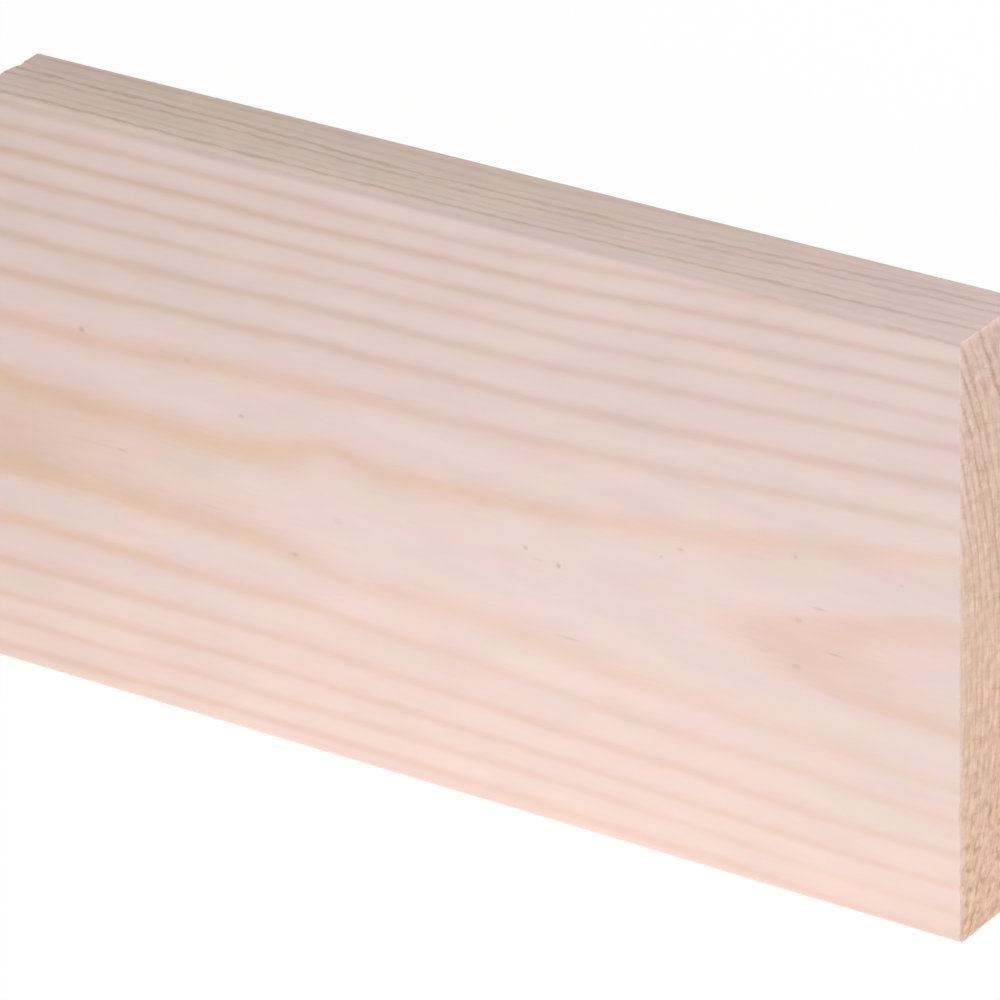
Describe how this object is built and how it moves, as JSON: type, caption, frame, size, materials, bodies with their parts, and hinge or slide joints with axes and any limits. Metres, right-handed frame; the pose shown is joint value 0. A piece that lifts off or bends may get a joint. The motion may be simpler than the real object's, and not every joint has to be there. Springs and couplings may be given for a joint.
{
  "type": "pine moulding",
  "caption": "Short length of square-edged planed pine moulding: a flat rectangular plank with eased long arrises and sawn ends, used as skirting, architrave or trim.",
  "frame": {"origin": "middle of the back, on the surface that the plank lies on", "axes": "+X along the length towards the end that shows in the picture, +Y across the width towards the upper edge, +Z out of the front face"},
  "size_m": [0.175, 0.095, 0.018],
  "materials": {
    "pine": "matte"
  },
  "bodies": {
    "root": {"pine_moulding": "pine"}
  },
  "joints": []
}
